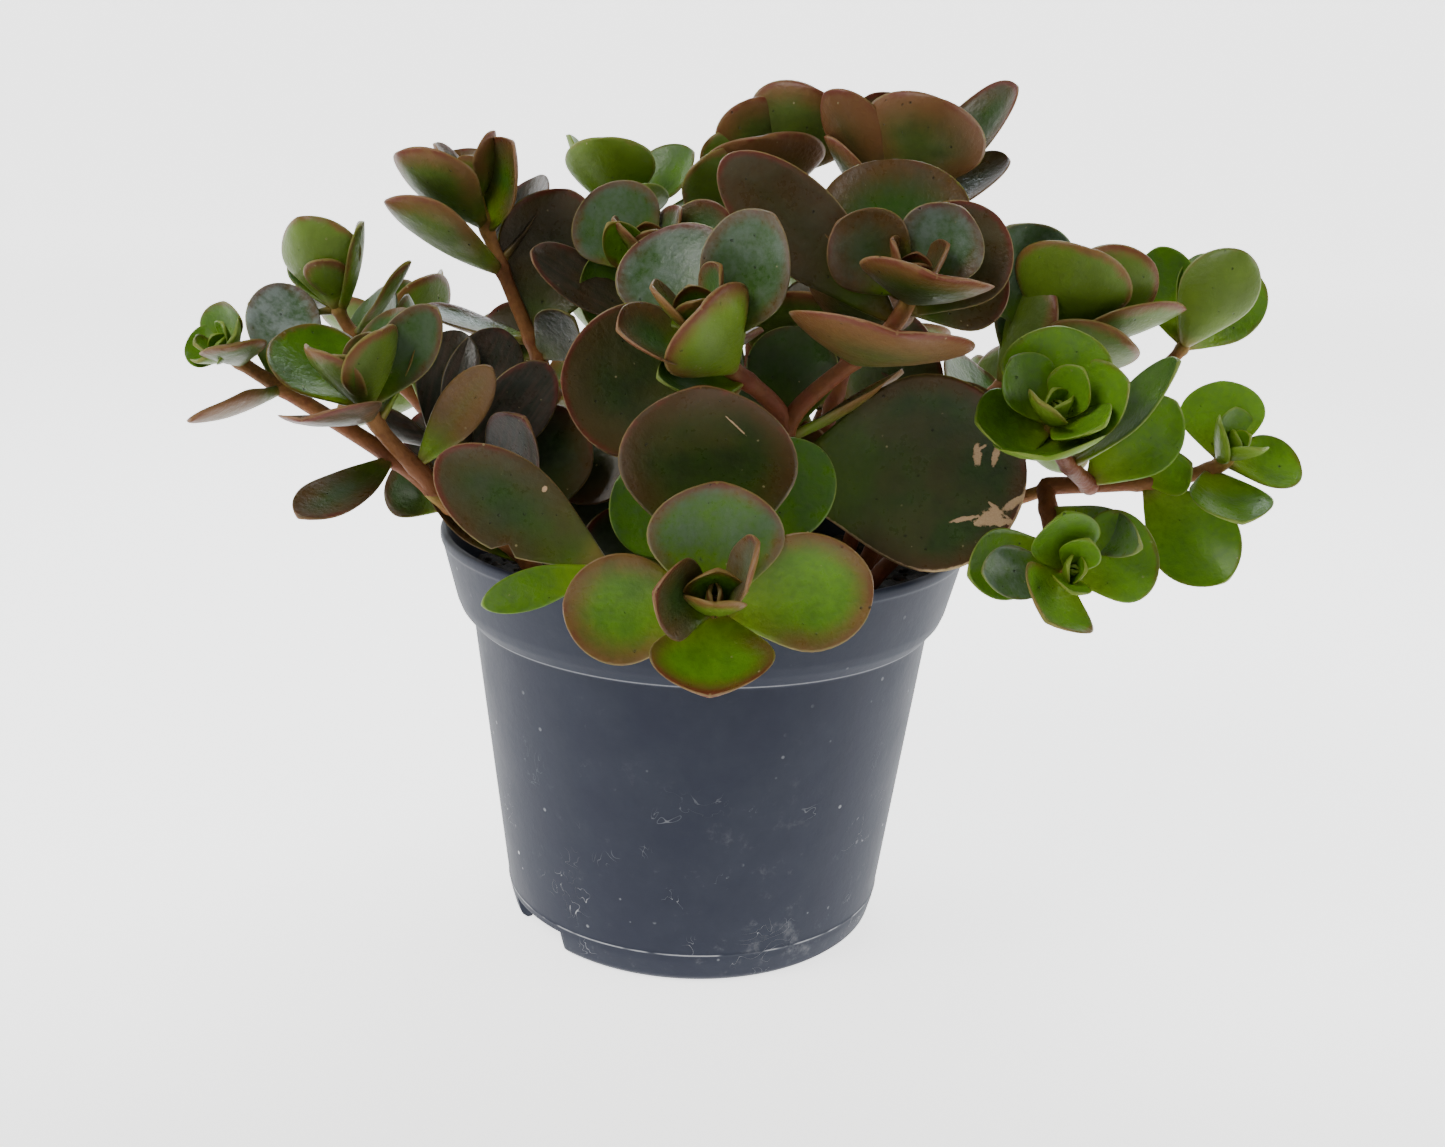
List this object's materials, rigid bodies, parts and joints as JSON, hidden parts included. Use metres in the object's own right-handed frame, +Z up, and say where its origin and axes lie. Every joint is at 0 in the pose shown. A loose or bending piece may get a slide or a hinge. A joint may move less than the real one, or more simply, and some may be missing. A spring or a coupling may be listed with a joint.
{
  "type": "potted stonecrop",
  "caption": "Branching succulent with opposite fleshy leaves in rosettes on short upright stems, rooted in compost in a round thin-walled plastic nursery pot.",
  "frame": {"origin": "on the ground, under the middle of the whole plant's extent in X and Y; the pot's axis is about 9 mm towards -X and 5 mm towards -Y from it", "axes": "+Z up along the pot's axis, -Y towards the pictured front, +X to the right seen from the front"},
  "size_m": [0.2048, 0.1608, 0.1693],
  "materials": {
    "pot_plastic": "satin",
    "compost": "matte",
    "leaf_green": "satin",
    "leaf_bronze": "satin"
  },
  "bodies": {
    "root": {"pot": "pot_plastic", "compost": "compost", "shoot_front": "leaf_green", "shoot_centre": "leaf_bronze", "shoot_right": "leaf_green", "shoot_dark": "leaf_bronze", "shoot_left": "leaf_green", "shoot_left_top": "leaf_green", "shoot_upper_left": "leaf_bronze", "shoot_inner_left": "leaf_green", "shoot_top_left": "leaf_green", "shoot_top": "leaf_bronze", "shoot_top_right": "leaf_bronze", "shoot_right_upper": "leaf_green", "shoot_far_right": "leaf_green", "shoot_low_left": "leaf_bronze", "shoot_back_left": "leaf_green", "shoot_back": "leaf_green", "shoot_back_right": "leaf_green", "shoot_low_back": "leaf_green", "shoot_low_back_right": "leaf_green"}
  },
  "joints": []
}
